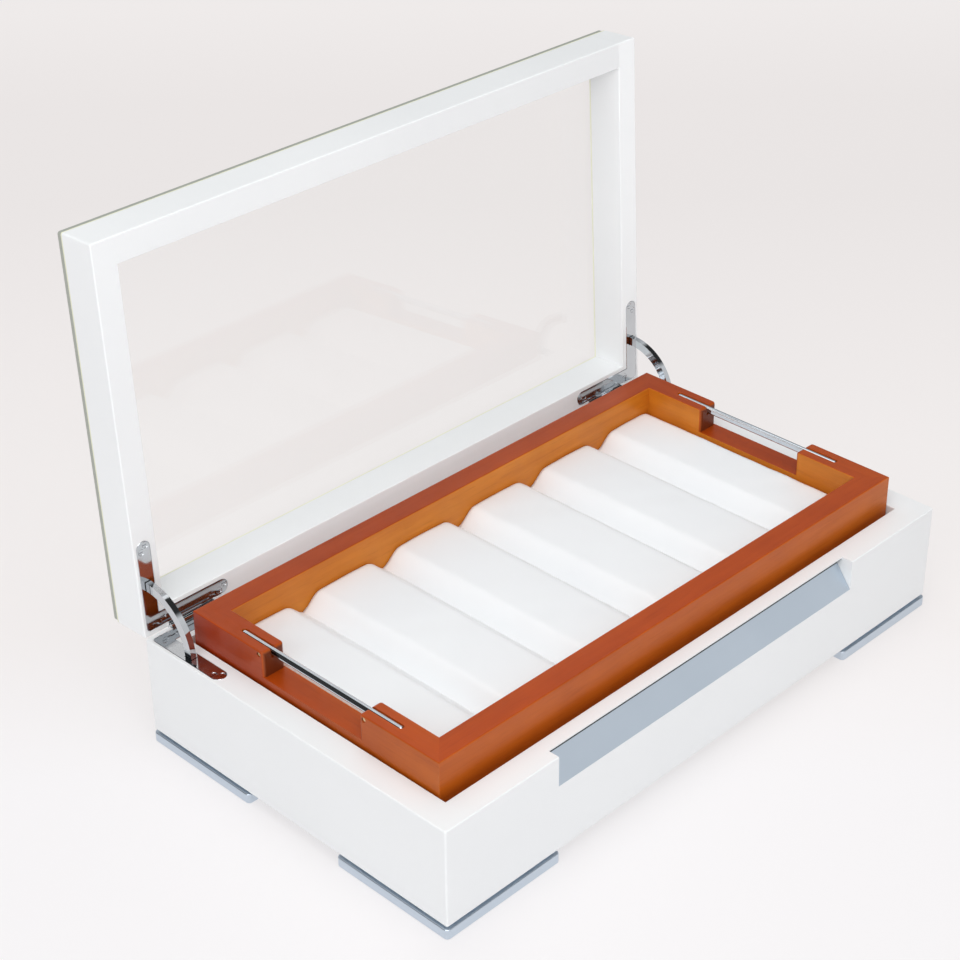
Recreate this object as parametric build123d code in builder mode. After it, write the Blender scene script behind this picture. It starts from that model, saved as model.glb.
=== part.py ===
from build123d import *
from math import asin, cos, degrees, hypot, radians, sin
import os

# A low lacquered chest for collector pens, standing open as at rest.
#
# The base is a white box on four metal corner feet, with a grip notch in its front wall.
# Two quadrant hinges carry a white frame lid with a glass pane, and each hinge has a curved stay
# that slides through a slot in both of its leaves and stops the lid a little past upright.
# A wooden tray with a ridged pen cushion and two pinned steel lifting bars stands in the well.
#
# Frame: millimetres, +X to the right, +Y to the back, +Z up. The origin is on the table, under the
# middle of the box that bounds the open chest.

# ---------------------------------------------------------------- base box
base_length = 400.0  # left to right
base_depth = 227.0  # front to back
base_height = 59.7  # white box alone
wall_thick = 16.0
bottom_thick = 8.0
liner_thick = 1.5
liner_gap = 0.5
corner_round = 1.2  # lacquered upright edges
edge_round = 0.8  # lacquered long edges

# ---------------------------------------------------------------- feet
foot_height = 8.3  # table to underside of the box
foot_length = 81.0  # along X
foot_depth = 80.0  # along Y
foot_lip = 0.6  # how far a foot stands out past the walls
foot_neck_height = 1.8  # shadow gap under the box
foot_neck_inset = 2.4
foot_corner_round = 2.5
foot_edge_round = 0.7
pad_thick = 1.2
pad_proud = 0.4
pad_radius = 14.0
pad_gap = 0.1
foot_screw_inset = 14.0

# ---------------------------------------------------------------- grip notch and its plate
grip_length = 242.0
grip_rim_depth = 7.3  # notch depth at the rim
grip_lip = 1.2  # upright part under the rim's edge
grip_apex_depth = 10.5  # deepest line of the notch, from the front face
grip_apex_drop = 4.2  # and from the rim
grip_drop = 18.5  # lower edge of the plate's face, from the rim
plate_thick = 1.2
plate_top_gap = 0.9  # dark gap above the plate
plate_end_gap = 0.2
notch_overshoot = 1.0  # how far the cutter stands outside the wall

# ---------------------------------------------------------------- lid
lid_thick = 23.9
lid_stile = 14.7  # left and right members
lid_hinge_rail = 14.7
lid_front_rail = 15.1
glass_thick = 3.7
glass_inset = 0.5
glass_round = 1.5
glass_edge = 0.35
open_angle = 92.85

# ---------------------------------------------------------------- quadrant hinges
leaf_width = 9.0
leaf_thick = 2.2
leaf_side_inset = 2.0  # from the side face
leaf_back_inset = 3.0  # from the hinge axis
side_leg_end = 57.5  # tip of the side leg, from the hinge axis
rail_leg_end = 58.0  # tip of the rail leg, from the side face
leaf_corner = 2.5
leaf_edge = 0.3  # chamfer around the visible face
leaf_gap = 0.1  # mortise around a leaf
leaf_step_width = 3.6  # shallow rebate along the axis side of the rail leg
leaf_step_depth = 0.35
leaf_step_start = 12.0  # from the side face
leaf_step_end = 49.0
knuckle_radius = 2.4
knuckle_recess = 0.35
knuckle_start = 16.6  # from the side face
knuckle_end_length = 7.5  # each of the base leaf's two knuckles
knuckle_mid_length = 15.0  # the lid leaf's knuckle
knuckle_gap = 0.2
hinge_pin_radius = 1.2
hinge_pin_fit = 0.05

# ---------------------------------------------------------------- curved stays
stay_offset = 6.4  # middle of the stay, from the side face
stay_inner = 27.8
stay_width = 5.2  # radial
stay_thick = 3.4
stay_head_thick = 5.2
stay_head_length = 2.6
stay_head_drop = 0.1  # below the leaf when the lid rests open
stay_slot_gap = 0.4
stay_side_gap = 0.35
stay_pocket_gap = 0.8
stay_closed_rise = 38.0  # degrees that a stay stands into the closed lid

# ---------------------------------------------------------------- screws
screw_radius = 1.0
screw_head = 1.7
screw_length = 10.0
screw_fit = 0.05
screw_sink = 0.2  # head below the leaf's face
screw_slot = 0.5
screw_tip_near = 2.7  # from the leg's tip to each of its two screws
screw_tip_far = 6.2
screw_stagger = 1.5
corner_screw = 13.2  # from the side face
foot_screw_radius = 1.75
foot_screw_head = 3.4
foot_screw_length = 14.0

# ---------------------------------------------------------------- tray
tray_rise = 20.0  # above the rim
tray_drop = 20.0  # below the rim
tray_end_gap = 1.2
tray_side_gap = 5.2
tray_rail = 14.5
tray_panel_thick = 5.0
tray_round = 0.8
ledge_height = 12.0
ledge_reach = 6.0  # under the tray

# ---------------------------------------------------------------- lifting bars
finger_length = 72.0
finger_drop = 15.5
finger_round = 2.2
bar_length = 120.0
bar_width = 3.0
bar_height = 4.4
bar_drop = 0.2  # top of the bar below the top of the tray
bar_round = 1.3
bar_slot_width = 3.4
bar_slot_drop = 5.6
bar_slot_gap = 0.4
bar_pin_radius = 1.4
bar_pin_fit = 0.05
bar_pin_recess = 0.5  # from the rail's outer face
bar_pin_inset = 3.5  # from the finger gap
bar_pin_cover = 3.0  # wood beyond the slot that the pin enters

# ---------------------------------------------------------------- pen cushion
cushion_gap = 0.4
cushion_rise = 4.4  # shoulders above the rim, at the ends
valley_drop = 4.4  # valleys below the rim
valley_count = 5
valley_pitch = 60.3
valley_half = 8.2
valley_round = 4.2
shoulder_round = 6.0
cushion_dome = 0.5  # each ridge is a little higher in its middle
cushion_crown = 0.8  # the whole pad is a little higher in mid depth
cushion_draw = 0.9  # and a little narrower
cushion_end_drop = 1.6  # rounded over at the front and back
cushion_end_roll = 5.0

# ---------------------------------------------------------------- worked out from the above
half_length = base_length / 2
lean = radians(open_angle - 90)
lid_total = lid_thick + glass_thick
lid_swing = base_depth * sin(lean) + lid_total * cos(lean)
front = foot_lip - (foot_lip + base_depth + lid_swing) / 2
back = front + base_depth
middle = (front + back) / 2
rim = foot_height + base_height
well_half_length = half_length - wall_thick
well_front = front + wall_thick
well_back = back - wall_thick

tray_half_length = well_half_length - tray_end_gap
tray_half_depth = (well_back - well_front) / 2 - tray_side_gap
tray_top = rim + tray_rise
tray_bottom = rim - tray_drop
inner_half_length = tray_half_length - tray_rail
inner_half_depth = tray_half_depth - tray_rail

hinge_point = (0, back, rim)
open_radians = radians(open_angle)
lid_out = (0, sin(open_radians), cos(open_radians))
lid_in = tuple(-value for value in lid_out)
# On both face planes local Y runs away from the hinge axis and local Z out of the wood.
base_face = Plane(origin=hinge_point, x_dir=(-1, 0, 0), z_dir=(0, 0, 1))
lid_face = Plane(origin=hinge_point, x_dir=(1, 0, 0), z_dir=lid_in)

stay_outer = stay_inner + stay_width
head_start = degrees(asin((leaf_thick + stay_head_drop) / stay_inner))
head_sweep = degrees(stay_head_length / stay_inner)
stay_end = head_start + head_sweep
stay_turn = open_angle + stay_end - stay_closed_rise
stay_ratio = stay_turn / open_angle

bottom_centre = (Align.CENTER, Align.CENTER, Align.MIN)
top_centre = (Align.CENTER, Align.CENTER, Align.MAX)


def save(builder, name):
    """Label a finished piece and write its STEP file."""
    builder.part.label = name
    export_step(builder.part, f"parts/{name}.step")


# ---------------------------------------------------------------- shapes shared by several pieces
def leaf_outline(side, grow):
    """L-shaped outline of a hinge leaf on a face plane, for its local side -1 or 1."""
    width = leaf_width + 2 * grow
    leg_x = half_length - leaf_side_inset - leaf_width / 2
    leg_y = leaf_back_inset + leaf_width / 2
    tip_y = side_leg_end - leaf_width / 2
    tip_x = half_length - rail_leg_end + leaf_width / 2
    with BuildSketch() as outline:
        with Locations((side * leg_x, (leg_y + tip_y) / 2)):
            SlotCenterToCenter(tip_y - leg_y, width, rotation=90)
        with Locations((side * (leg_x + tip_x) / 2, leg_y)):
            SlotCenterToCenter(leg_x - tip_x, width)
        with Locations((side * leg_x, leg_y)):
            RectangleRounded(width, width, leaf_corner + grow)
    return outline.sketch


def leaf_screw_spots(side):
    """Places of a leaf's screws on its face plane: two at each tip and one by the corner."""
    leg_x = half_length - leaf_side_inset - leaf_width / 2
    leg_y = leaf_back_inset + leaf_width / 2
    spots = [
        (leg_x - screw_stagger, side_leg_end - screw_tip_near),
        (leg_x + screw_stagger, side_leg_end - screw_tip_far),
        (half_length - rail_leg_end + screw_tip_near, leg_y + screw_stagger),
        (half_length - rail_leg_end + screw_tip_far, leg_y - screw_stagger),
        (half_length - corner_screw, leg_y),
    ]
    return [(side * x, y) for x, y in spots]


# Knuckles along the axis, from the side face: one of the base leaf, one of the lid leaf, one more
# of the base leaf, as start and length.
base_knuckle_outer = (knuckle_start, knuckle_end_length)
lid_knuckle = (knuckle_start + knuckle_end_length + knuckle_gap, knuckle_mid_length)
base_knuckle_inner = (lid_knuckle[0] + knuckle_mid_length + knuckle_gap, knuckle_end_length)
knuckle_reach = 2 * knuckle_end_length + knuckle_mid_length + 2 * knuckle_gap
tab_depth = leaf_back_inset + leaf_width / 2


def hinge_seat(face, side):
    """What is cut for one leaf: its mortise, the knuckles' groove and the screws' pilot holes."""
    groove_x = side * (half_length - knuckle_start - knuckle_reach / 2)
    groove_length = knuckle_reach + 2 * knuckle_recess
    with BuildPart() as seat:
        with BuildSketch(face):
            add(leaf_outline(side, leaf_gap))
        extrude(amount=-leaf_thick)
        with Locations(face):
            with Locations(Location((groove_x, 0, 0), (0, 90, 0))):
                Cylinder(knuckle_radius + knuckle_recess, groove_length)
            with Locations((groove_x, tab_depth / 2, -leaf_thick / 2)):
                Box(groove_length, tab_depth, leaf_thick)
            with Locations(*leaf_screw_spots(side)):
                Cylinder(screw_radius + screw_fit, screw_length + screw_fit, align=top_centre)
    return seat.part


def stay_pocket(face, side, near, depth):
    """What is cut for a curved stay under its leaf."""
    far = stay_outer + stay_pocket_gap
    width = stay_head_thick + 2 * stay_side_gap
    with BuildPart() as pocket:
        with Locations(face):
            with Locations((side * (half_length - stay_offset), (near + far) / 2)):
                Box(width, far - near, depth, align=top_centre)
    return pocket.part


base_pocket_low = stay_end + stay_turn
base_pocket_near = stay_inner * cos(radians(base_pocket_low)) - stay_pocket_gap
base_pocket_depth = stay_outer * sin(radians(base_pocket_low)) + stay_pocket_gap
lid_pocket_near = stay_inner * cos(radians(stay_closed_rise)) - stay_pocket_gap
lid_pocket_depth = stay_outer * sin(radians(stay_closed_rise)) + stay_pocket_gap

# Grip notch, drawn in a plane across the front wall: local X into the wall, local Y up from the rim.
notch_plane = Plane(origin=(0, front, rim), x_dir=(0, 1, 0), z_dir=(1, 0, 0))
slope_length = hypot(grip_apex_depth, grip_drop - grip_apex_drop)
slope_x = grip_apex_depth / slope_length
slope_y = (grip_drop - grip_apex_drop) / slope_length
plate_run = slope_length - plate_top_gap
plate_top = (slope_x * plate_run, slope_y * plate_run - grip_drop)
plate_back = (plate_top[0] + plate_thick * slope_y, plate_top[1] - plate_thick * slope_x)
plate_foot = (plate_thick / slope_y, -grip_drop)


def notch_outline():
    """Open part of the grip notch."""
    with BuildSketch() as outline:
        with BuildLine():
            Polyline(
                (-notch_overshoot, notch_overshoot),
                (grip_rim_depth, notch_overshoot),
                (grip_rim_depth, -grip_lip),
                (grip_apex_depth, -grip_apex_drop),
                (0, -grip_drop),
                (-notch_overshoot, -grip_drop),
                close=True,
            )
        make_face()
    return outline.sketch


def plate_outline():
    """Section of the grip plate, drawn out to a thin edge at the front face."""
    with BuildSketch() as outline:
        with BuildLine():
            Polyline((0, -grip_drop), plate_top, plate_back, plate_foot, close=True)
        make_face()
    return outline.sketch


def grip_notch():
    """What is cut from the front wall for the grip and its plate."""
    with BuildPart() as notch:
        with BuildSketch(notch_plane):
            add(notch_outline())
            add(plate_outline())
        extrude(amount=grip_length / 2, both=True)
    return notch.part


# ---------------------------------------------------------------- base box
well_depth = well_back - well_front

with BuildPart() as white_box:
    with BuildSketch(Plane.XY.offset(foot_height)):
        with Locations((0, middle)):
            Rectangle(base_length, base_depth)
            Rectangle(2 * well_half_length, well_depth, mode=Mode.SUBTRACT)
    extrude(amount=base_height)
    uprights = white_box.edges().filter_by(Axis.Z)
    fillet([e for e in uprights if abs(e.center().X) > well_half_length + wall_thick / 2], corner_round)
    fillet(white_box.faces().sort_by(Axis.Z)[-1].outer_wire().edges(), edge_round)
    fillet(white_box.faces().sort_by(Axis.Z)[0].outer_wire().edges(), edge_round)
    fillet(white_box.faces().sort_by(Axis.Z)[-1].inner_wires()[0].edges(), edge_round / 2)


def base_wall(name, x, y, length, depth, cuts):
    """One wall of the white box, about its middle x and y, less the given cuts."""
    with BuildPart() as wall:
        add(white_box.part)
        with BuildSketch(Plane.XY):
            with Locations((x, y)):
                Rectangle(length, depth)
        extrude(amount=rim + edge_round, mode=Mode.INTERSECT)
        for shape in cuts:
            add(shape, mode=Mode.SUBTRACT)
    save(wall, name)


def make_walls():
    """Side walls over the full depth, and the front and back wall between them."""
    for side, name in ((-1, "base_left_wall"), (1, "base_right_wall")):
        seat = hinge_seat(base_face, -side)
        pocket = stay_pocket(base_face, -side, base_pocket_near, base_pocket_depth)
        x = side * (half_length - wall_thick / 2)
        base_wall(name, x, middle, wall_thick, base_depth, [seat, pocket])

    span = 2 * well_half_length
    base_wall("base_front_wall", 0, front + wall_thick / 2, span, wall_thick, [grip_notch()])
    seats = [hinge_seat(base_face, side) for side in (-1, 1)]
    base_wall("base_back_wall", 0, back - wall_thick / 2, span, wall_thick, seats)


def make_floor():
    """Bottom panel with the foot screws' pilot holes, and the well's liner."""
    pilot_depth = foot_screw_top + screw_fit - foot_height
    with BuildPart() as bottom:
        with BuildSketch(Plane.XY.offset(foot_height)):
            with Locations((0, middle)):
                Rectangle(2 * well_half_length, well_depth)
        extrude(amount=bottom_thick)
        with Locations(*[(x, y, foot_height) for x, y in foot_screw_spots()]):
            Cylinder(
                foot_screw_radius + screw_fit,
                pilot_depth,
                align=bottom_centre,
                mode=Mode.SUBTRACT,
            )
    save(bottom, "base_bottom_panel")

    with BuildPart() as liner:
        with BuildSketch(Plane.XY.offset(foot_height + bottom_thick)):
            with Locations((0, middle)):
                Rectangle(2 * (well_half_length - liner_gap), well_depth - 2 * liner_gap)
        extrude(amount=liner_thick)
    save(liner, "well_floor_liner")


def make_ledges():
    """Strips around the well that the tray stands on."""
    end_width = tray_end_gap + ledge_reach
    side_width = tray_side_gap + ledge_reach
    low = tray_bottom - ledge_height
    for side, name in ((-1, "left_tray_ledge"), (1, "right_tray_ledge")):
        with BuildPart() as ledge:
            with BuildSketch(Plane.XY.offset(low)):
                with Locations((side * (well_half_length - end_width / 2), middle)):
                    Rectangle(end_width, well_depth)
            extrude(amount=ledge_height)
        save(ledge, name)
    reach = 2 * (well_half_length - end_width)
    for y, name in (
        (well_front + side_width / 2, "front_tray_ledge"),
        (well_back - side_width / 2, "back_tray_ledge"),
    ):
        with BuildPart() as ledge:
            with BuildSketch(Plane.XY.offset(low)):
                with Locations((0, y)):
                    Rectangle(reach, side_width)
            extrude(amount=ledge_height)
        save(ledge, name)


def make_grip_plate():
    """Bare polished plate on the slope of the grip notch."""
    with BuildPart() as plate:
        with BuildSketch(notch_plane):
            add(plate_outline())
        extrude(amount=grip_length / 2 - plate_end_gap, both=True)
    save(plate, "grip_plate")


# ---------------------------------------------------------------- feet
def foot_centre(side, end):
    """Middle of a foot; side is -1 left or 1 right, end is -1 front or 1 back."""
    x = side * (half_length + foot_lip - foot_length / 2)
    y = middle + end * (base_depth / 2 + foot_lip - foot_depth / 2)
    return x, y


def foot_screws_of(side, end):
    """Three screws of one foot, clear of the walls."""
    x, y = foot_centre(side, end)
    reach_x = foot_length / 2 - foot_screw_inset
    reach_y = foot_depth / 2 - foot_screw_inset
    inner = (x - side * reach_x, y - end * reach_y)
    along = (x - side * reach_x, y + end * (reach_y - wall_thick / 2))
    across = (x + side * (reach_x - wall_thick / 2), y - end * reach_y)
    return [inner, along, across]


feet = {
    "front_left": (-1, -1),
    "front_right": (1, -1),
    "back_left": (-1, 1),
    "back_right": (1, 1),
}


def foot_screw_spots():
    """All twelve foot screws."""
    return [spot for side, end in feet.values() for spot in foot_screws_of(side, end)]


foot_screw_low = pad_proud + 2 * screw_fit
foot_screw_top = foot_screw_low + foot_screw_length


def make_feet():
    """Metal corner feet with a shadow gap, their screws and their felt pads."""
    plate_height = foot_height - foot_neck_height - pad_proud
    neck_length = foot_length - 2 * (foot_lip + foot_neck_inset)
    neck_depth = foot_depth - 2 * (foot_lip + foot_neck_inset)
    under = Plane(origin=(0, 0, pad_proud), x_dir=(1, 0, 0), z_dir=(0, 0, -1))
    for name, (side, end) in feet.items():
        x, y = foot_centre(side, end)
        with BuildPart() as foot:
            with BuildSketch(Plane.XY.offset(pad_proud)):
                with Locations((x, y)):
                    RectangleRounded(foot_length, foot_depth, foot_corner_round)
            extrude(amount=plate_height)
            fillet(foot.faces().sort_by(Axis.Z)[-1].edges(), foot_edge_round)
            fillet(foot.faces().sort_by(Axis.Z)[0].edges(), foot_edge_round)
            with BuildSketch(Plane.XY.offset(foot_height)):
                with Locations((x, y)):
                    RectangleRounded(neck_length, neck_depth, foot_corner_round)
            extrude(amount=-foot_neck_height)
            with BuildSketch(Plane.XY.offset(pad_proud)):
                with Locations((x, y)):
                    Circle(pad_radius + pad_gap)
            extrude(amount=pad_thick - pad_proud, mode=Mode.SUBTRACT)
            with Locations(under):
                with Locations(*[(spot_x, -spot_y) for spot_x, spot_y in foot_screws_of(side, end)]):
                    CounterSinkHole(
                        foot_screw_radius + screw_fit,
                        foot_screw_head + 3 * screw_fit,
                        depth=foot_height,
                        counter_sink_angle=90,
                    )
        save(foot, f"{name}_foot")

    with BuildPart() as pads:
        with BuildSketch(Plane.XY):
            with Locations(*[foot_centre(side, end) for side, end in feet.values()]):
                Circle(pad_radius)
        extrude(amount=pad_thick)
    save(pads, "foot_pads")

    head_height = foot_screw_head - foot_screw_radius
    with BuildPart() as screws:
        with Locations(*[(x, y, foot_screw_low) for x, y in foot_screw_spots()]):
            Cylinder(foot_screw_radius, foot_screw_length, align=bottom_centre)
            Cone(foot_screw_head, foot_screw_radius, head_height, align=bottom_centre)
            Box(2 * foot_screw_head, screw_slot, screw_slot, align=bottom_centre, mode=Mode.SUBTRACT)
    save(screws, "foot_screws")


# ---------------------------------------------------------------- lid
lid_opening_length = base_length - 2 * lid_stile
lid_opening_depth = base_depth - lid_hinge_rail - lid_front_rail

with BuildPart() as white_frame:
    with BuildSketch(lid_face):
        with Locations((0, base_depth / 2)):
            Rectangle(base_length, base_depth)
        with Locations((0, lid_hinge_rail + lid_opening_depth / 2)):
            Rectangle(lid_opening_length, lid_opening_depth, mode=Mode.SUBTRACT)
    extrude(amount=-lid_thick)
    uprights = white_frame.edges().filter_by(Axis((0, 0, 0), lid_out))
    fillet([e for e in uprights if abs(e.center().X) > well_half_length + wall_thick / 2], corner_round)
    inner_face = white_frame.faces().filter_by(lid_face).sort_by(Axis.Y)[0]
    fillet(inner_face.outer_wire().edges(), edge_round)
    inner_face = white_frame.faces().filter_by(lid_face).sort_by(Axis.Y)[0]
    fillet(inner_face.inner_wires()[0].edges(), edge_round / 2)


def lid_member(name, x, y, length, depth, cuts):
    """One member of the lid frame, about its middle x and y on the lid's face, less the cuts."""
    with BuildPart() as member:
        add(white_frame.part)
        with BuildSketch(lid_face):
            with Locations((x, y)):
                Rectangle(length, depth)
        extrude(amount=-lid_thick, mode=Mode.INTERSECT)
        for shape in cuts:
            add(shape, mode=Mode.SUBTRACT)
    save(member, name)


def make_lid():
    """Stiles over the full depth, rails between them, and the glass pane on the outside."""
    for side, name in ((-1, "lid_left_stile"), (1, "lid_right_stile")):
        seat = hinge_seat(lid_face, side)
        pocket = stay_pocket(lid_face, side, lid_pocket_near, lid_pocket_depth)
        x = side * (half_length - lid_stile / 2)
        lid_member(name, x, base_depth / 2, lid_stile, base_depth, [seat, pocket])

    seats = [hinge_seat(lid_face, side) for side in (-1, 1)]
    span = lid_opening_length
    lid_member("lid_hinge_rail", 0, lid_hinge_rail / 2, span, lid_hinge_rail, seats)
    front_y = base_depth - lid_front_rail / 2
    lid_member("lid_front_rail", 0, front_y, span, lid_front_rail, [])

    with BuildPart() as pane:
        with BuildSketch(lid_face.offset(-lid_thick)):
            with Locations((0, base_depth / 2)):
                RectangleRounded(
                    base_length - 2 * glass_inset,
                    base_depth - 2 * glass_inset,
                    glass_round,
                )
        extrude(amount=-glass_thick)
        faces = pane.faces().filter_by(lid_face).sort_by(Axis.Y)
        chamfer(faces[0].edges() + faces[-1].edges(), glass_edge)
    save(pane, "lid_glass")


# ---------------------------------------------------------------- hinges
def hinge_leaf(face, side, knuckles, name):
    """L-shaped leaf on a face plane, with its knuckles, stay slot and screw holes."""
    with BuildPart() as leaf:
        with BuildSketch(face):
            add(leaf_outline(side, 0))
        extrude(amount=-leaf_thick)
        visible_face = leaf.faces().sort_by(Axis(face.origin, face.z_dir))[-1]
        chamfer(visible_face.edges(), leaf_edge)
        with Locations(face):
            for start, length in knuckles:
                x = side * (half_length - start - length / 2)
                with Locations((x, tab_depth / 2, -leaf_thick / 2)):
                    Box(length, tab_depth, leaf_thick)
                with Locations(Location((x, 0, 0), (0, 90, 0))):
                    Cylinder(knuckle_radius, length)
                    Cylinder(hinge_pin_radius + hinge_pin_fit, length, mode=Mode.SUBTRACT)
            with Locations((side * (half_length - stay_offset), stay_inner + stay_width / 2)):
                Box(
                    stay_thick + 2 * stay_side_gap,
                    stay_width + 2 * stay_slot_gap,
                    leaf_thick,
                    align=top_centre,
                    mode=Mode.SUBTRACT,
                )
            step_x = side * (half_length - (leaf_step_start + leaf_step_end) / 2)
            with Locations((step_x, leaf_back_inset + leaf_step_width / 2)):
                Box(
                    leaf_step_end - leaf_step_start,
                    leaf_step_width,
                    leaf_step_depth,
                    align=top_centre,
                    mode=Mode.SUBTRACT,
                )
            with Locations(*leaf_screw_spots(side)):
                CounterSinkHole(
                    screw_radius + screw_fit,
                    screw_head + screw_sink + screw_fit,
                    depth=leaf_thick,
                    counter_sink_angle=90,
                )
    save(leaf, name)


def leaf_screws(face, side, name):
    """Countersunk slotted screws of one leaf."""
    with BuildPart() as screws:
        with Locations(face):
            with Locations(*[(x, y, -screw_sink) for x, y in leaf_screw_spots(side)]):
                Cylinder(screw_radius, screw_length - screw_sink, align=top_centre)
                Cone(screw_radius, screw_head, screw_head - screw_radius, align=top_centre)
                Box(
                    2 * screw_head,
                    screw_slot,
                    screw_slot,
                    align=top_centre,
                    mode=Mode.SUBTRACT,
                )
    save(screws, name)


def arc_band(start, sweep):
    """Part of the stay's ring from an angle above the rim, forward being zero."""
    begin = radians(start)
    finish = radians(start + sweep)
    with BuildSketch() as band:
        with BuildLine():
            CenterArc((0, 0), stay_outer, start, sweep)
            CenterArc((0, 0), stay_inner, start, sweep)
            for angle in (begin, finish):
                Line(
                    (stay_inner * cos(angle), stay_inner * sin(angle)),
                    (stay_outer * cos(angle), stay_outer * sin(angle)),
                )
        make_face()
    return band.sketch


def curved_stay(side, name):
    """Curved bar about the hinge axis with a wider head under each leaf."""
    x = side * (half_length - stay_offset)
    arc_plane = Plane(origin=(x, back, rim), x_dir=(0, -1, 0), z_dir=(-1, 0, 0))
    with BuildPart() as stay:
        with BuildSketch(arc_plane):
            add(arc_band(-stay_end, open_angle + 2 * stay_end))
        extrude(amount=stay_thick / 2, both=True)
        with BuildSketch(arc_plane):
            add(arc_band(-stay_end, head_sweep))
            add(arc_band(open_angle + head_start, head_sweep))
        extrude(amount=stay_head_thick / 2, both=True)
    save(stay, name)


def make_hinges():
    """Left and right quadrant hinge, each of two leaves, a pin, screws and a stay."""
    base_knuckles = [base_knuckle_outer, base_knuckle_inner]
    for side, name in ((-1, "left"), (1, "right")):
        hinge_leaf(base_face, -side, base_knuckles, f"{name}_base_leaf")
        hinge_leaf(lid_face, side, [lid_knuckle], f"{name}_lid_leaf")
        leaf_screws(base_face, -side, f"{name}_base_leaf_screws")
        leaf_screws(lid_face, side, f"{name}_lid_leaf_screws")
        curved_stay(side, f"{name}_stay")
        pin_x = side * (half_length - knuckle_start - knuckle_reach / 2)
        pin_axis = Plane(origin=(pin_x, back, rim), x_dir=(0, 1, 0), z_dir=(1, 0, 0))
        with BuildPart() as pin:
            with BuildSketch(pin_axis):
                Circle(hinge_pin_radius)
            extrude(amount=knuckle_reach / 2, both=True)
        save(pin, f"{name}_hinge_pin")


# ---------------------------------------------------------------- tray
def make_long_rails():
    """Front and back rail of the tray."""
    for end, name in ((-1, "tray_front_rail"), (1, "tray_back_rail")):
        corners = [
            (-tray_half_length, end * tray_half_depth),
            (tray_half_length, end * tray_half_depth),
            (inner_half_length, end * inner_half_depth),
            (-inner_half_length, end * inner_half_depth),
        ]
        with BuildPart() as rail:
            with BuildSketch(Plane((0, middle, tray_bottom))):
                with BuildLine():
                    Polyline(*corners, close=True)
                make_face()
            extrude(amount=tray_top - tray_bottom)
            fillet(rail.edges().filter_by(Axis.X).group_by(Axis.Z)[-1], tray_round)
        save(rail, name)


def make_end_rails():
    """Left and right rail of the tray, with a finger gap, a bar slot and cross holes."""
    for side, name in ((-1, "tray_left_rail"), (1, "tray_right_rail")):
        bar_x = side * (tray_half_length - tray_rail / 2)
        corners = [
            (side * tray_half_length, -tray_half_depth),
            (side * tray_half_length, tray_half_depth),
            (side * inner_half_length, inner_half_depth),
            (side * inner_half_length, -inner_half_depth),
        ]
        with BuildPart() as rail:
            with BuildSketch(Plane((0, middle, tray_bottom))):
                with BuildLine():
                    Polyline(*corners, close=True)
                make_face()
            extrude(amount=tray_top - tray_bottom)
            fillet(rail.edges().filter_by(Axis.Y).group_by(Axis.Z)[-1], tray_round)
            with Locations((bar_x, middle, tray_top)):
                Box(
                    2 * tray_rail,
                    finger_length,
                    finger_drop,
                    align=top_centre,
                    mode=Mode.SUBTRACT,
                )
            fillet(rail.edges().filter_by(Axis.X).group_by(Axis.Z)[-1], finger_round)
            with BuildSketch(Plane((bar_x, middle, tray_top))):
                SlotOverall(bar_length + 2 * bar_slot_gap, bar_slot_width, rotation=90)
            extrude(amount=-bar_slot_drop, mode=Mode.SUBTRACT)
            cut_bar_pin_holes(side)
        save(rail, name)


def make_tray_panel():
    """Panel between the rails that carries the cushion."""
    with BuildPart() as panel:
        with BuildSketch(Plane((0, middle, tray_bottom))):
            Rectangle(2 * inner_half_length, 2 * inner_half_depth)
        extrude(amount=tray_panel_thick)
    save(panel, "tray_bottom_panel")


bar_pin_z = tray_top - bar_drop - bar_height / 2
bar_pin_length = tray_rail / 2 + bar_slot_width / 2 + bar_pin_cover


def bar_pin_spots(side):
    """Outer ends of a bar's two cross pins, as places whose Z axis runs along the pin."""
    y = finger_length / 2 + bar_pin_inset
    turn = (0, 90, 0)
    x = side * tray_half_length
    if side > 0:
        turn = (0, -90, 0)
    return [Location((x, middle + end * y, bar_pin_z), turn) for end in (-1, 1)]


def cut_bar_pin_holes(side):
    """Blind cross holes from the rail's outer face, in the piece being made."""
    with Locations(*bar_pin_spots(side)):
        Cylinder(
            bar_pin_radius + bar_pin_fit,
            bar_pin_length + bar_pin_fit,
            align=bottom_centre,
            mode=Mode.SUBTRACT,
        )


def make_lifting_bars():
    """Steel bars across the finger gaps, and the brass pins that hold them."""
    for side, name in ((-1, "left"), (1, "right")):
        bar_x = side * (tray_half_length - tray_rail / 2)
        with BuildPart() as bar:
            with BuildSketch(Plane.XY.offset(tray_top - bar_drop)):
                with Locations((bar_x, middle)):
                    SlotOverall(bar_length, bar_width, rotation=90)
            extrude(amount=-bar_height)
            fillet(bar.faces().sort_by(Axis.Z)[-1].edges(), bar_round)
            fillet(bar.faces().sort_by(Axis.Z)[0].edges(), bar_round)
            cut_bar_pin_holes(side)
        save(bar, f"{name}_lifting_bar")
        with BuildPart() as pins:
            with Locations(*bar_pin_spots(side)):
                with Locations((0, 0, bar_pin_recess)):
                    Cylinder(bar_pin_radius, bar_pin_length - bar_pin_recess, align=bottom_centre)
        save(pins, f"{name}_bar_pins")


# ---------------------------------------------------------------- pen cushion
cushion_bottom = tray_bottom + tray_panel_thick
cushion_half_length = inner_half_length - cushion_gap
cushion_half_depth = inner_half_depth - cushion_gap


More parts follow.
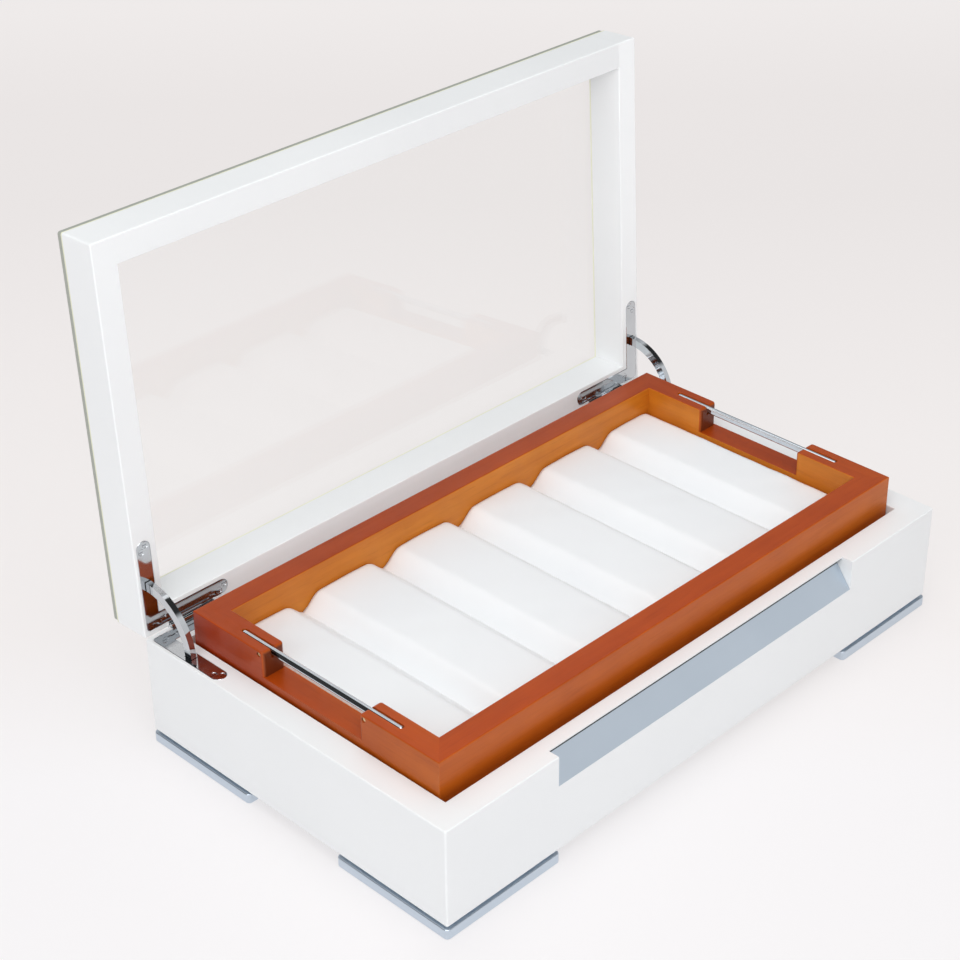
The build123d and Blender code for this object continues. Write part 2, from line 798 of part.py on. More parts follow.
def cushion_section(y, lift, draw):
    """Ridged section of the cushion at a depth y, raised by lift and drawn in by draw."""
    half = cushion_half_length - draw
    top = rim + cushion_rise + lift
    low = rim - valley_drop + lift / 2
    valleys = [(i - (valley_count - 1) / 2) * valley_pitch for i in range(valley_count)]
    starts = [-half] + [valley + valley_half for valley in valleys]
    finishes = [valley - valley_half for valley in valleys] + [half]
    section_plane = Plane(origin=(0, middle + y, 0), x_dir=(1, 0, 0), z_dir=(0, -1, 0))
    with BuildSketch(section_plane) as section:
        with BuildLine():
            for start, finish in zip(starts, finishes):
                crest = ((start + finish) / 2, top + cushion_dome)
                ThreePointArc((start, top), crest, (finish, top))
            for valley in valleys:
                Polyline((valley - valley_half, top), (valley, low), (valley + valley_half, top))
            Polyline((half, top), (half, cushion_bottom), (-half, cushion_bottom), (-half, top))
        make_face()
        near = valley_half / 100
        fillet([v for v in section.vertices() if abs(v.Y - top) < near], shoulder_round)
        fillet([v for v in section.vertices() if abs(v.Y - low) < near], valley_round)
    return section.sketch


def make_cushion():
    """Padded pen cushion: ridges front to back, a crown in mid depth and drawn-in ends."""
    end_y = cushion_half_depth
    roll_y = end_y - cushion_end_roll
    sections = [
        cushion_section(-end_y, -cushion_end_drop, 0),
        cushion_section(-roll_y, 0, cushion_draw / 3),
        cushion_section(0, cushion_crown, cushion_draw),
        cushion_section(roll_y, 0, cushion_draw / 3),
        cushion_section(end_y, -cushion_end_drop, 0),
    ]
    with BuildPart() as cushion:
        loft(sections, ruled=True)
    save(cushion, "pen_cushion")


os.makedirs("parts", exist_ok=True)
make_walls()
make_floor()
make_ledges()
make_grip_plate()
make_feet()
make_lid()
make_hinges()
make_long_rails()
make_end_rails()
make_tray_panel()
make_lifting_bars()
make_cushion()
print(f"stay turns {stay_turn:.2f} degrees, {stay_ratio:.4f} of the lid's turn")
print(f"base middle is {-middle:.2f} in front of the origin, hinge axis at y {back:.2f}, z {rim:.2f}")
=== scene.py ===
"""Looks of the pen collector chest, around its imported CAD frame."""

import math

import bpy
import numpy as np
from mathutils import Matrix, Vector


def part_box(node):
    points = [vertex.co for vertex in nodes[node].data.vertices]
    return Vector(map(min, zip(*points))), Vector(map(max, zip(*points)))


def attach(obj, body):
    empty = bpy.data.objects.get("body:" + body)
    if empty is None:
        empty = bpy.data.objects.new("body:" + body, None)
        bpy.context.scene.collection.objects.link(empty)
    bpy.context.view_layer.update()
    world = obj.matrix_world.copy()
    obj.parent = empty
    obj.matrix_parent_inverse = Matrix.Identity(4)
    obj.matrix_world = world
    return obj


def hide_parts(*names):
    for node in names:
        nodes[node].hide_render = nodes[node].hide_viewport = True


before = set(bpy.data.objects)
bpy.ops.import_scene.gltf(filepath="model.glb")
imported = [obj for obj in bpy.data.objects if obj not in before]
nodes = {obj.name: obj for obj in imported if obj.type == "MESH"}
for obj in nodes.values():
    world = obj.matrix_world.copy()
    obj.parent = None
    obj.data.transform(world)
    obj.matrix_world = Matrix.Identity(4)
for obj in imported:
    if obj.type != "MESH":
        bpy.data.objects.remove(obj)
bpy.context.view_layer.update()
scene = bpy.context.scene
scene.view_settings.view_transform = "Standard"

MM = 0.001
UP = (0, 0, 1)
FRONT = (0, -1, 0)
LEFT = (-1, 0, 0)
LID_LEAN = math.radians(2.85)
PANE_AXIS = (0, math.cos(LID_LEAN), -math.sin(LID_LEAN))

# Places that the materials tell apart, in metres from the chest's origin: limits by axis, the X of
# the tray's outer left face, how far along the pane's axis the glue starts, and the height from
# which the left bar's outer side is painted dark. All but the glue line carry painted shade or light.
GRIP_RECESS_SHADE = {"X": (-0.1208, 0.1208), "Y": (-0.1270, -0.1200), "Z": (0.0600, 0.0672)}
TRAY_INSIDE = {"X": (-0.16845, 0.16845), "Y": (-0.09708, 0.05883)}
FINGER_GAP = {"Y": (-0.07, 0.03)}
TRAY_LEFT_FACE = -0.18265
GLUE_START = 0.1139
BAR_SHADE_START = 0.0853


# ---------------------------------------------------------------- camera
def make_camera():
    """Camera at the photograph's angle: a long lens, high on the chest's front left."""
    place = Vector((-0.7469, -0.69993, 0.7377))
    forward = Vector((0.6078, 0.6025, -0.5172)).normalized()
    right = Vector((0.7006, -0.7135, -0.0080))
    right = (right - forward * right.dot(forward)).normalized()
    up = right.cross(forward)
    turn = Matrix((right, up, -forward)).transposed().to_4x4()
    data = bpy.data.cameras.new("camera")
    data.sensor_width = 36
    data.lens = 81.47
    data.clip_start = 0.05
    data.clip_end = 60
    camera = bpy.data.objects.new("camera", data)
    scene.collection.objects.link(camera)
    camera.matrix_world = Matrix.Translation(place) @ turn
    scene.camera = camera


# ---------------------------------------------------------------- node helpers
class Shader:
    """A material's node tree, with short calls for making and joining its nodes."""

    def __init__(self, tree):
        self.tree = tree
        self.tree.nodes.clear()

    def node(self, kind, inputs=None, **settings):
        """New node; each input is a value or the socket of another node."""
        made = self.tree.nodes.new(kind)
        for name, value in settings.items():
            setattr(made, name, value)
        for name, value in (inputs or {}).items():
            socket = made.inputs[name]
            if isinstance(value, bpy.types.NodeSocket):
                self.tree.links.new(value, socket)
            else:
                socket.default_value = value
        return made

    def place(self, scale=(1, 1, 1)):
        """Object coordinates, which are the chest's own, times a scale."""
        spot = self.node("ShaderNodeTexCoord").outputs["Object"]
        return self.node("ShaderNodeMapping", {"Vector": spot, "Scale": scale}).outputs["Vector"]

    def split_place(self):
        """Object coordinates as the three sockets X, Y and Z."""
        return self.node("ShaderNodeSeparateXYZ", {"Vector": self.place()}).outputs

    def noise(self, place, scale, detail=2.0, roughness=0.5, distortion=0.0):
        """Noise value, whose scale is in cells per metre."""
        made = self.node(
            "ShaderNodeTexNoise",
            {
                "Vector": place,
                "Scale": scale,
                "Detail": detail,
                "Roughness": roughness,
                "Distortion": distortion,
            },
        )
        return made.outputs["Fac"]

    def span(self, value, low, high, start=0.0, finish=1.0):
        """Value mapped from low..high to start..finish, held at both ends."""
        made = self.node(
            "ShaderNodeMapRange",
            {
                "Value": value,
                "From Min": low,
                "From Max": high,
                "To Min": start,
                "To Max": finish,
            },
        )
        return made.outputs["Result"]

    def ramp(self, value, *stops):
        """Colour ramp from stops of (place, colour)."""
        made = self.node("ShaderNodeValToRGB", {"Fac": value})
        points = made.color_ramp.elements
        while len(points) < len(stops):
            points.new(1.0)
        for point, (spot, colour) in zip(points, stops):
            point.position = spot
            point.color = (*colour, 1.0)
        return made.outputs["Color"]

    def blend(self, share, first, second, how="MIX"):
        """Two colours mixed by share."""
        made = self.node("ShaderNodeMix", data_type="RGBA", blend_type=how)
        for socket, value in ((0, share), (6, first), (7, second)):
            if isinstance(value, bpy.types.NodeSocket):
                self.tree.links.new(value, made.inputs[socket])
            elif socket:
                made.inputs[socket].default_value = (*value, 1.0)
            else:
                made.inputs[socket].default_value = value
        return made.outputs[2]

    def tint(self, share, colour, by):
        """Colour multiplied by another one, as far as share says."""
        return self.blend(share, colour, self.blend(1.0, colour, by, "MULTIPLY"))

    def math(self, operation, first, second=0.0):
        """One arithmetic step."""
        made = self.node("ShaderNodeMath", operation=operation)
        for socket, value in enumerate((first, second)):
            if isinstance(value, bpy.types.NodeSocket):
                self.tree.links.new(value, made.inputs[socket])
            else:
                made.inputs[socket].default_value = value
        return made.outputs["Value"]

    def product(self, first, *others):
        """All values multiplied."""
        for other in others:
            first = self.math("MULTIPLY", first, other)
        return first

    def bump(self, height, strength, distance, under=None):
        """Bump from a height; distance is in metres."""
        inputs = {"Height": height, "Strength": strength, "Distance": distance}
        if under is not None:
            inputs["Normal"] = under
        return self.node("ShaderNodeBump", inputs).outputs["Normal"]

    def inside(self, value, low, high):
        """One where a value lies between low and high, otherwise nothing."""
        above = self.math("GREATER_THAN", value, low)
        return self.product(above, self.math("LESS_THAN", value, high))

    def within(self, limits):
        """One where the place lies between the limits of every axis they name."""
        split = self.split_place()
        return self.product(*(self.inside(split[axis], *ends) for axis, ends in limits.items()))

    def along(self, vector, axis):
        """Length of a vector along an axis."""
        inputs = {0: vector, 1: axis}
        return self.node("ShaderNodeVectorMath", inputs, operation="DOT_PRODUCT").outputs["Value"]

    def facing(self, axis):
        """How much the surface faces along an axis, from minus one to one."""
        return self.along(self.node("ShaderNodeTexCoord").outputs["Normal"], axis)

    def edge_on(self, axis, limit):
        """One on faces that neither face along an axis nor against it by more than the limit."""
        return self.math("LESS_THAN", self.math("ABSOLUTE", self.facing(axis)), limit)

    def glue_line(self):
        """One on the last millimetre of the lid frame's sides, next to the pane."""
        near = self.math("GREATER_THAN", self.along(self.place(), PANE_AXIS), GLUE_START)
        return self.product(near, self.edge_on(PANE_AXIS, 0.5))

    def surface(self, inputs):
        """Principled surface to the output."""
        shader = self.node("ShaderNodeBsdfPrincipled", inputs)
        self.node("ShaderNodeOutputMaterial", {"Surface": shader.outputs["BSDF"]})


def new_material(name):
    """Empty material and the helper for its nodes."""
    material = bpy.data.materials.new(name)
    material.use_nodes = True
    return material, Shader(material.node_tree)


def paint(material, *names):
    """Give CAD nodes a material."""
    for name in names:
        slots = nodes[name].data.materials
        slots.clear()
        slots.append(material)


# ---------------------------------------------------------------- materials
def white_lacquer(name, extra=None, lift=1.0):
    """Satin white lacquer: a soft orange peel, faint clouding and a fine pebble.

    With the extra recess, the edge between the front wall's rim and the grip plate is painted dark,
    as painted shade in the recess. With the extra glue, a pale line runs next to the pane. The lift
    makes it lighter, as painted light.
    """
    material, s = new_material(name)
    place = s.place()
    cloud = s.noise(place, 9, 3)
    # The lift is painted light: a lighter copy of the lacquer stands in for more light falling there.
    cool = [lift * part for part in (0.822, 0.838, 0.846)]
    warm = [lift * part for part in (0.846, 0.862, 0.868)]
    colour = s.ramp(cloud, (0.3, cool), (0.7, warm))
    if extra == "recess":
        # Painted shade: the grip recess above the plate is painted near black.
        colour = s.blend(s.within(GRIP_RECESS_SHADE), colour, (0.035, 0.04, 0.045))
    if extra == "glue":
        colour = s.blend(s.glue_line(), colour, (0.80, 0.81, 0.62))
    peel = s.noise(place, 620, 2)
    pebble = s.noise(place, 2100, 1)
    under = s.bump(peel, 0.18, 0.00012)
    normal = s.bump(pebble, 0.1, 0.00005, under)
    s.surface({
        "Base Color": colour,
        "Roughness": s.span(cloud, 0.3, 0.7, 0.33, 0.41),
        "Normal": normal,
        "IOR": 1.45,
    })
    return material


def tray_painted_light(s, wood):
    """Painted light and shade on the tray's stain: lighter and darker places that stand in for how
    light falls.

    It is painted lighter and yellower inside the tray and a little so in front, as painted light and
    sheen; painted darker towards the back on the outer left face and on the far tops, as painted shade
    with less sheen; and painted a deep red shade in the ends of the finger gaps.
    """
    split = s.split_place()
    front = s.facing(FRONT)
    # Painted light: lighter and yellower inside the tray, and a painted sheen on faces towards the
    # front.
    painted_light_share = s.math("MAXIMUM", s.within(TRAY_INSIDE), s.product(s.span(front, 0.4, 0.9), 0.32))
    wood = s.tint(painted_light_share, wood, (1.36, 2.75, 4.8))
    # Painted shade on the outer left face, darker towards the back, with a painted sheen towards the
    # front.
    left_face_painted_shade = s.blend(s.span(split["Y"], -0.10, 0.06), (1.06, 1.5, 1.9), (0.74, 0.45, 0.40))
    wood = s.tint(s.math("LESS_THAN", split["X"], TRAY_LEFT_FACE), wood, left_face_painted_shade)
    # Painted shade: the ends of the finger gaps facing the front are deep red.
    gap_end_shade = s.product(s.within(FINGER_GAP), s.span(front, 0.5, 0.95))
    wood = s.tint(gap_end_shade, wood, (0.30, 0.26, 0.9))
    # Painted shade: the far tops are darker, as if they showed less sheen.
    far = s.span(s.along(s.place(), (0.35, 1, 0)), -0.15, 0.0)
    top = s.product(s.span(s.facing(UP), 0.7, 0.95), far)
    return s.tint(top, wood, (0.83, 0.74, 0.6))


def tray_wood(name, stretch):
    """Orange brown stained wood under satin lacquer, its grain along the axis that stretch shortens."""
    material, s = new_material(name)
    place = s.place(stretch)
    broad = s.noise(place, 24, 4, 0.55, 0.6)
    fibre = s.noise(place, 190, 5, 0.6, 0.3)
    pores = s.noise(place, 900, 2, 0.5)
    mottle = s.noise(s.place(), 38, 3, 0.6)
    base = s.ramp(
        broad,
        (0.3, (0.410, 0.056, 0.002)),
        (0.5, (0.455, 0.070, 0.003)),
        (0.7, (0.505, 0.090, 0.005)),
    )
    grain = s.ramp(fibre, (0.35, (0.86, 0.80, 0.76)), (0.62, (1.0, 1.0, 1.0)))
    grained = s.blend(0.6, base, grain, "MULTIPLY")
    patch = s.ramp(mottle, (0.3, (0.90, 0.87, 0.85)), (0.7, (1.06, 1.08, 1.10)))
    mottled = s.blend(0.7, grained, patch, "MULTIPLY")
    dots = s.ramp(pores, (0.33, (0.72, 0.66, 0.62)), (0.42, (1.0, 1.0, 1.0)))
    dotted = s.blend(0.25, mottled, dots, "MULTIPLY")
    height = s.math("ADD", s.product(fibre, 0.6), s.product(pores, 0.4))
    s.surface({
        # The base colour carries the tray's painted light and shade.
        "Base Color": tray_painted_light(s, dotted),
        "Roughness": s.span(fibre, 0.3, 0.7, 0.38, 0.30),
        "Normal": s.bump(height, 0.12, 0.0001),
        "IOR": 1.36,
    })
    return material


def raw_wood(name, pale, dark):
    """Plain sanded wood for the hidden ledges and panel."""
    material, s = new_material(name)
    grain = s.noise(s.place((0.06, 1, 1)), 160, 5, 0.6, 0.4)
    fine = s.noise(s.place((0.12, 1, 1)), 800, 2)
    colour = s.ramp(grain, (0.3, dark), (0.7, pale))
    s.surface({
        "Base Color": colour,
        "Roughness": s.span(fine, 0.2, 0.8, 0.55, 0.75),
        "Normal": s.bump(grain, 0.25, 0.0002),
    })
    return material


def white_leather():
    """Smooth white leather with a fine pebble and faint cool clouding."""
    material, s = new_material("white_leather")
    place = s.place()
    cells = s.node(
        "ShaderNodeTexVoronoi",
        {"Vector": place, "Scale": 1150.0},
        feature="DISTANCE_TO_EDGE",
    ).outputs["Distance"]
    cloud = s.noise(place, 14, 3)
    creases = s.noise(place, 260, 4, 0.6)
    colour = s.ramp(cloud, (0.3, (0.832, 0.848, 0.864)), (0.7, (0.857, 0.873, 0.886)))
    under = s.bump(creases, 0.1, 0.0002)
    s.surface({
        "Base Color": colour,
        "Roughness": s.span(creases, 0.3, 0.7, 0.42, 0.52),
        "Normal": s.bump(s.span(cells, 0.0, 0.12), 0.12, 0.00006, under),
        "Sheen Weight": 0.15,
        "Sheen Roughness": 0.4,
    })
    return material


def felt():
    """Pale grey felt."""
    material, s = new_material("felt")
    place = s.place()
    fibre = s.noise(place, 1500, 4, 0.7, 1.2)
    tuft = s.noise(place, 300, 3, 0.6)
    colour = s.ramp(fibre, (0.3, (0.42, 0.42, 0.44)), (0.7, (0.62, 0.62, 0.64)))
    s.surface({
        "Base Color": colour,
        "Roughness": 0.95,
        "Sheen Weight": 0.5,
        "Sheen Roughness": 0.5,
        "Normal": s.bump(s.math("ADD", fibre, tuft), 0.6, 0.0004),
    })
    return material


def bright_metal():
    """Satin metal with a cool tint and faint brushing along the chest."""
    material, s = new_material("bright_metal")
    brushing = s.noise(s.place((0.004, 1, 1)), 3000, 2, 0.5)
    cloud = s.noise(s.place(), 20, 3)
    colour = s.ramp(cloud, (0.3, (0.575, 0.655, 0.74)), (0.7, (0.61, 0.69, 0.775)))
    s.surface({
        "Base Color": colour,
        "Metallic": 1.0,
        "Roughness": s.span(brushing, 0.3, 0.7, 0.28, 0.32),
        "Normal": s.bump(brushing, 0.03, 0.00001),
    })
    return material


def chrome(name, tone, roughness, shade=None):
    """Polished plating with hairline scratches.

    Shade is a direction and a height: above it, faces towards that direction are painted dark, a
    painted reflection of shade.
    """
    material, s = new_material(name)
    hairs = s.noise(s.place((0.15, 1, 1)), 2600, 3, 0.6, 0.6)
    cloud = s.noise(s.place(), 60, 2)
    colour = s.ramp(cloud, (0.3, tuple(0.95 * part for part in tone)), (0.7, tone))
    if shade:
        # Painted reflection: faces towards the shade direction are painted near black above the height.
        toward, lowest = shade
        high = s.math("GREATER_THAN", s.along(s.place(), UP), lowest)
        dark = s.product(s.span(s.facing(toward), 0.80, 0.95), high)
        colour = s.blend(dark, colour, (0.012, 0.013, 0.015))
    s.surface({
        "Base Color": colour,
        "Metallic": 1.0,
        "Roughness": s.span(hairs, 0.35, 0.7, roughness, roughness + 0.05),
        "Normal": s.bump(hairs, 0.05, 0.00002),
    })
    return material


def clear_glass():
    """Clear float glass with ground edges, letting light through to what it covers."""
    material, s = new_material("clear_glass")
    smears = s.noise(s.place(), 30, 4, 0.6)
    glass = s.node(
        "ShaderNodeBsdfPrincipled",
        {
            "Base Color": (0.992, 0.996, 0.994, 1.0),
            "Transmission Weight": 1.0,
            "Roughness": s.span(smears, 0.4, 0.7, 0.0, 0.015),
            "IOR": 1.3,
        },
    )
    clear = s.node("ShaderNodeBsdfTransparent", {"Color": (0.97, 0.98, 0.975, 1.0)})
    path = s.node("ShaderNodeLightPath")
    pane = s.node("ShaderNodeMixShader", {
        "Fac": path.outputs["Is Shadow Ray"],
        1: glass.outputs["BSDF"],
        2: clear.outputs["BSDF"],
    })
    grit = s.noise(s.place(), 1600, 2, 0.6)
    edge = s.node(
        "ShaderNodeBsdfPrincipled",
        {
            "Base Color": s.ramp(grit, (0.3, (0.33, 0.35, 0.31)), (0.7, (0.40, 0.42, 0.37))),
            "Roughness": 0.35,
            "IOR": 1.5,
            "Normal": s.bump(grit, 0.3, 0.00005),
        },
    )
    mixed = s.node("ShaderNodeMixShader", {
        "Fac": s.edge_on(PANE_AXIS, 0.3),
        1: pane.outputs["Shader"],
        2: edge.outputs["BSDF"],
    })
    s.node("ShaderNodeOutputMaterial", {"Surface": mixed.outputs["Shader"]})
    return material


def dress_frame():
    """Materials of all CAD nodes that stay."""
    paint(white_lacquer("white_lacquer"), "base_back_wall", "base_left_wall", "base_right_wall",
          "base_bottom_panel")
    paint(white_lacquer("white_lacquer_front", "recess"), "base_front_wall")
    # The lid's two lacquers are lighter copies, lifted as painted light.
    paint(white_lacquer("white_lacquer_lid_painted_light", "glue", 1.05), "lid_front_rail", "lid_left_stile")
    paint(white_lacquer("white_lacquer_hinge_side_painted_light", "glue", 1.02), "lid_hinge_rail",
          "lid_right_stile")
    paint(tray_wood("tray_wood_long", (0.07, 1, 1)), "tray_front_rail", "tray_back_rail")
    paint(tray_wood("tray_wood_end", (1, 0.07, 1)), "tray_left_rail", "tray_right_rail")
    ledge = raw_wood("ledge_wood", (0.62, 0.50, 0.36), (0.48, 0.36, 0.24))
    paint(ledge, "left_tray_ledge", "right_tray_ledge", "front_tray_ledge", "back_tray_ledge")
    paint(raw_wood("panel_wood", (0.50, 0.36, 0.22), (0.38, 0.26, 0.15)), "tray_bottom_panel")
    paint(felt(), "well_floor_liner", "foot_pads")
    paint(bright_metal(), "grip_plate", "front_left_foot", "front_right_foot", "back_left_foot",
          "back_right_foot")
    polished = chrome("hinge_chrome", (0.60, 0.625, 0.65), 0.05)
    for side in ("left", "right"):
        paint(polished, f"{side}_base_leaf", f"{side}_lid_leaf", f"{side}_stay",
              f"{side}_hinge_pin", f"{side}_base_leaf_screws", f"{side}_lid_leaf_screws")
    bar_tone = (0.66, 0.71, 0.76)
    paint(chrome("bar_chrome", bar_tone, 0.07), "right_lifting_bar")
    # The left bar's outer side gets a painted dark reflection.
    paint(chrome("bar_chrome_left", bar_tone, 0.07, (LEFT, BAR_SHADE_START)), "left_lifting_bar")
    paint(chrome("pin_brass", (0.80, 0.60, 0.34), 0.18), "left_bar_pins", "right_bar_pins")
    paint(chrome("plain_steel", (0.56, 0.56, 0.57), 0.3), "foot_screws")
    paint(clear_glass(), "lid_glass")


# ---------------------------------------------------------------- pen cushion
# Lengths in mm. Depths and rises are from the rim. Runs start in the middle of a valley, and the
# slope's run at the end of the valley's flat.
RIM = 68.0
PITCH = 60.3
VALLEYS = [(i - 2) * PITCH for i in range(5)]
VALLEY_DEPTH = 4.4
VALLEY_FLAT = 0.3
SLOPE_RUN = 12.6
SHOULDER_RISE = 8.2
CREST_RISE, CREST_RUN = 0.9, 30.0
CROWN_RISE, CROWN_SHARE = 0.7, 1.6
PADDING_RUN = 12
# The unevenness: its height, and its waves' turn for each mm along and across the chest.
WAVE_HEIGHT, WAVE_ALONG, WAVE_ACROSS = 0.07, 0.035, 0.05
SEAM_DEPTH, SEAM_WIDTH = 0.45, 0.3
SEAM_STEPS = (-1.6, -0.9, -0.45, -0.15, 0.15, 0.45, 0.9, 1.6)
# The top is rounded down at its border. The seams follow that by the seam share only.
END_ROUNDING = 7.0
SIDE_DROP, SIDE_ROUNDING = 0.9, 2.2
SEAM_SHARE = 0.35
# How far the left and right ends bow in at the middle, and the gap under the cushion.
END_DRAW = 0.9
BOTTOM_GAP = 0.2
COLUMNS, ROWS = 224, 92
# Down the sides: the share of the height, and how far the side is tucked in there.
TUCKS = ((0.12, 0.0), (0.5, 0.25), (0.88, 0.25), (1.0, 1.6))
# A border point nearer than this to a side is tucked in with it.
END_MARGIN, SIDE_MARGIN = 2.2, 0.5


def rounding(inset, radius):
    """Share of the drop of a rounded border, at a distance in from it."""
    part = np.clip(inset / radius, 0, 1)
    return 1 - np.sqrt(1 - (1 - part) ** 2)


def ridge_height(away):
    """Height of the ridges by the distance from the nearest valley."""
    rise = np.clip((away - VALLEY_FLAT) / SLOPE_RUN, 0, 1)
    shoulder = 0.3 * np.sin(rise * math.pi / 2) + 0.35 * (1 - np.cos(rise * math.pi))
    crest = CREST_RISE * np.sin(np.clip(away / CREST_RUN, 0, 1) * math.pi / 2)
    return -VALLEY_DEPTH + SHOULDER_RISE * shoulder + crest


def cushion_columns(half_x):
    """Places of the top's points along the chest, close together at the seams."""
    xs = set(np.linspace(-half_x, half_x, COLUMNS).round(3))
    for valley in VALLEYS:
        xs |= {round(valley + step, 3) for step in SEAM_STEPS}
    return np.array(sorted(xs))


def cushion_top(xs, ys, half_x, half_y, centre_y):
    """Points of the padded top, row by row, a little uneven as if stuffed by hand."""
    away = np.min(np.abs(xs[:, None] - np.array(VALLEYS)[None, :]), axis=1)
    top = ridge_height(away)
    top -= END_ROUNDING * rounding(half_x - np.abs(xs), END_ROUNDING)
    top -= SEAM_DEPTH * np.exp(-((away / SEAM_WIDTH) ** 2))
    puff = np.clip(away / PADDING_RUN, 0, 1)
    waves = np.random.default_rng(7).uniform(0, 2 * math.pi, (6, 2))
    points = []
    for y in ys:
        along = 1 - abs(y) / half_y
        drop = SIDE_DROP * rounding(half_y - abs(y), SIDE_ROUNDING)
        crown = CROWN_RISE * math.sin(min(1.0, along * CROWN_SHARE) * math.pi / 2)
        soft = np.zeros_like(xs)
        for i, (a, b) in enumerate(waves, 1):
            ripple = WAVE_HEIGHT * np.sin(xs * WAVE_ALONG * i + a)
            soft += ripple * math.sin(y * WAVE_ACROSS * i + b)
        height = top + (crown + soft) * puff - drop * (SEAM_SHARE + (1 - SEAM_SHARE) * puff)
        draw = END_DRAW * math.sin(math.pi * (y + half_y) / (2 * half_y))
        for x, h in zip(xs, height):
            points.append((x * (1 - draw / half_x), centre_y + y, RIM + h))
    return points


def cushion_border(count_x, count_y):
    """Numbers of the top's border points, once round."""
    border = list(range(count_x))
    border += [j * count_x + count_x - 1 for j in range(1, count_y)]
    border += [(count_y - 1) * count_x + i for i in range(count_x - 2, -1, -1)]
    return border + [j * count_x for j in range(count_y - 2, 0, -1)]


def make_cushion():
    """Padded pen cushion: six soft ridges drawn down at the seams, with a pinched seam in each."""
    low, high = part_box("pen_cushion")
    centre_y = (low.y + high.y) / 2 / MM
    half_x = (high.x - low.x) / 2 / MM
    half_y = (high.y - low.y) / 2 / MM
    bottom = low.z / MM + BOTTOM_GAP
    xs = cushion_columns(half_x)
    ys = np.linspace(-half_y, half_y, ROWS)
    points = cushion_top(xs, ys, half_x, half_y, centre_y)
    count_x, count_y = len(xs), len(ys)
    faces = []
    for j in range(count_y - 1):
        for i in range(count_x - 1):
            a = j * count_x + i
            faces.append((a, a + 1, a + 1 + count_x, a + count_x))

    border = cushion_border(count_x, count_y)
    ring = border
    for share, tuck in TUCKS:
        start = len(points)
        for index in border:
            x, y, z = points[index]
            x -= math.copysign(tuck, x) if abs(x) > half_x - END_MARGIN else 0
            inward = tuck if abs(y - centre_y) > half_y - SIDE_MARGIN else 0
            y -= math.copysign(inward, y - centre_y)
            points.append((x, y, z + (bottom - z) * share))
        fresh = list(range(start, start + len(border)))
        for k in range(len(border)):
            n = (k + 1) % len(border)
            faces.append((ring[n], ring[k], fresh[k], fresh[n]))
        ring = fresh
    faces.append(tuple(reversed(ring)))

    mesh = bpy.data.meshes.new("cushion_cover")
    mesh.from_pydata([tuple(v * MM for v in p) for p in points], [], faces)
    mesh.update()
    mesh.polygons.foreach_set("use_smooth", [True] * len(mesh.polygons))
    cushion = bpy.data.objects.new("cushion_cover", mesh)
    scene.collection.objects.link(cushion)
    mesh.materials.append(white_leather())
    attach(cushion, "tray")
    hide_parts("pen_cushion")


# ---------------------------------------------------------------- studio
def make_floor():
    """Pale sweep that fades a little with distance and keeps the chest's shadow."""
    reach = 9.0
    glow_share = 0.72
    mesh = bpy.data.meshes.new("studio_floor")
    corners = [(-reach, -reach, 0), (reach, -reach, 0), (reach, reach, 0), (-reach, reach, 0)]
    mesh.from_pydata(corners, [], [(0, 1, 2, 3)])
    floor = bpy.data.objects.new("studio_floor", mesh)
    scene.collection.objects.link(floor)
    material, s = new_material("studio_floor")
    split = s.split_place()
    away = s.math("ADD", split["X"], split["Y"])
    colour = s.ramp(
        s.span(away, -0.4, 1.6),
        (0.12, (0.918, 0.901, 0.910)),
        (0.22, (0.893, 0.860, 0.854)),
        (0.36, (0.888, 0.855, 0.847)),
        (0.52, (0.868, 0.833, 0.826)),
        (0.66, (0.848, 0.813, 0.805)),
        (0.82, (0.858, 0.822, 0.814)),
        (1.0, (0.905, 0.871, 0.863)),
    )
    lit = s.node("ShaderNodeBsdfDiffuse", {"Color": colour})
    glow = s.node("ShaderNodeEmission", {"Color": colour, "Strength": 1.0})
    path = s.node("ShaderNodeLightPath")
    seen = s.math("MAXIMUM", path.outputs["Is Camera Ray"], path.outputs["Is Glossy Ray"])
    seen = s.math("MAXIMUM", seen, path.outputs["Is Transmission Ray"])
    mixed = s.node("ShaderNodeMixShader", {
        "Fac": s.product(seen, glow_share),
        1: lit.outputs["BSDF"],
        2: glow.outputs["Emission"],
    })
    s.node("ShaderNodeOutputMaterial", {"Surface": mixed.outputs["Shader"]})
    mesh.materials.append(material)


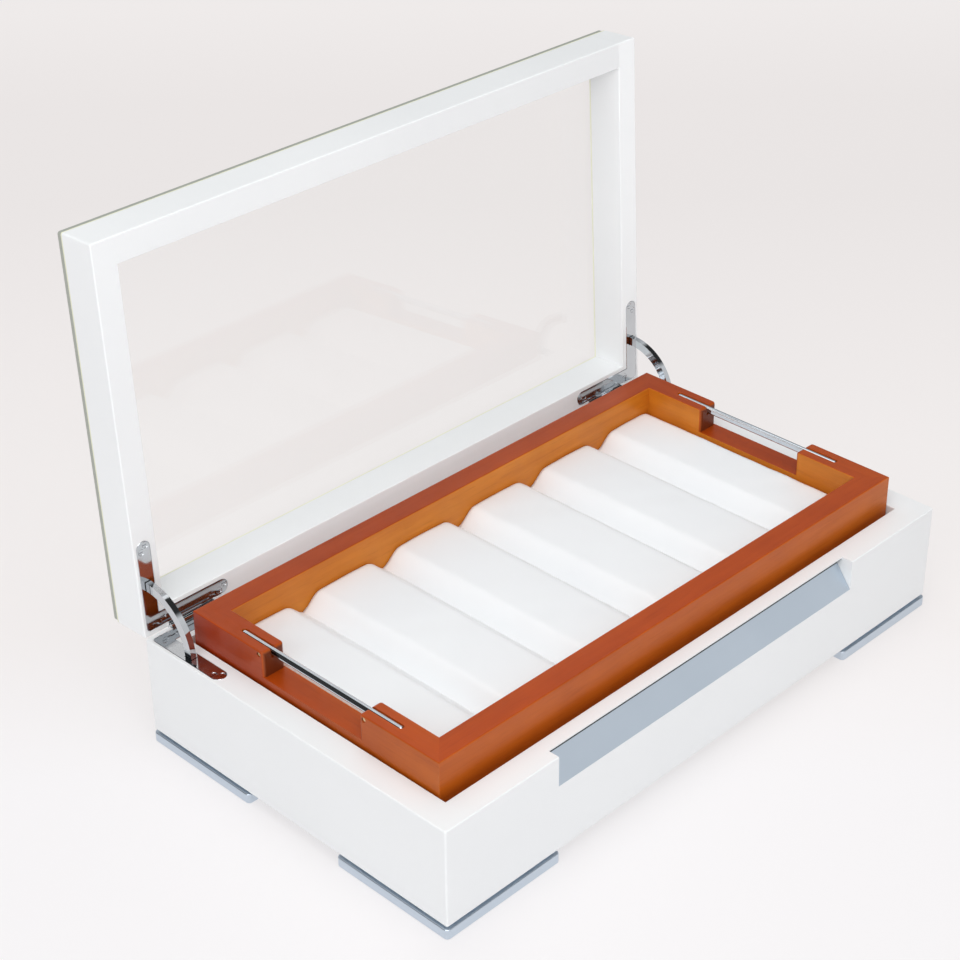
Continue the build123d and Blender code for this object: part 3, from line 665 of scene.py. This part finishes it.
def make_world():
    """White room with a dark back horizon and two dark corners, for the metal to mirror.

    Where the room itself is seen, also through the pane, it is plain and pale.
    """
    world = bpy.data.worlds.new("studio_room")
    scene.world = world
    world.use_nodes = True
    s = Shader(world.node_tree)
    direction = s.node("ShaderNodeTexCoord").outputs["Generated"]
    split = s.node("ShaderNodeSeparateXYZ", {"Vector": direction}).outputs
    height = s.span(split["Z"], -0.1, 1.0)
    near = s.ramp(
        height,
        (0.10, (0.86, 0.86, 0.87)),
        (0.45, (0.86, 0.86, 0.87)),
        (1.0, (1.15, 1.15, 1.15)),
    )
    far = s.ramp(
        height,
        (0.09, (0.80, 0.80, 0.80)),
        (0.13, (0.05, 0.05, 0.05)),
        (0.30, (0.06, 0.06, 0.06)),
        (0.42, (0.42, 0.44, 0.46)),
        (0.62, (0.50, 0.52, 0.54)),
        (0.80, (1.05, 1.05, 1.05)),
        (1.0, (1.15, 1.15, 1.15)),
    )
    room = s.blend(s.span(split["Y"], -0.1, 0.3), near, far)
    # A direction each, and how near to it the dark begins and is full.
    corners = (
        ((-0.62, 0.62, 0.46), (0.85, 0.91)),
        ((0.61, -0.20, 0.77), (0.89, 0.95)),
    )
    for toward, edges in corners:
        room = s.blend(s.span(s.along(direction, toward), *edges), room, (0.04, 0.04, 0.04))
    path = s.node("ShaderNodeLightPath")
    straight = s.math("LESS_THAN", path.outputs["Diffuse Depth"], 0.5)
    through = s.product(path.outputs["Is Transmission Ray"], straight)
    seen = s.math("MAXIMUM", path.outputs["Is Camera Ray"], through)
    room = s.blend(seen, room, (0.93, 0.90, 0.89))
    sky = s.node("ShaderNodeBackground", {"Color": room, "Strength": 0.90})
    s.node("ShaderNodeOutputWorld", {"Surface": sky.outputs["Background"]})


def add_lamp(name, place, target, size, power):
    """Soft box at a place, turned to a target."""
    data = bpy.data.lights.new(name, "AREA")
    data.shape = "RECTANGLE"
    data.size, data.size_y = size
    data.energy = power
    lamp = bpy.data.objects.new(name, data)
    scene.collection.objects.link(lamp)
    aim = Vector(target) - Vector(place)
    lamp.location = place
    lamp.rotation_euler = aim.to_track_quat("-Z", "Y").to_euler()
    return lamp


def make_lights():
    """Soft boxes overhead and on the left, a fill for the lid and one for its hinge side alone."""
    middle = (0, 0, 0.1)
    add_lamp("overhead_box", (-0.1, 0.1, 2.2), middle, (2.0, 1.6), 11.5)
    add_lamp("left_box", (-2.0, -0.4, 1.0), middle, (1.4, 1.4), 8.0)
    add_lamp("lid_fill", (-0.45, -0.5, 0.8), (0.1, 0.1, 0.15), (0.5, 0.5), 1.7)
    fill = add_lamp("hinge_side_fill", (-0.6, -0.5, 0.45), (0, 0.1, 0.1), (0.5, 0.5), 2.4)
    lit = bpy.data.collections.new("hinge_side")
    for name in ("lid_hinge_rail", "lid_right_stile"):
        lit.objects.link(nodes[name])
    fill.light_linking.receiver_collection = lit


make_camera()
dress_frame()
make_cushion()
make_floor()
make_world()
make_lights()
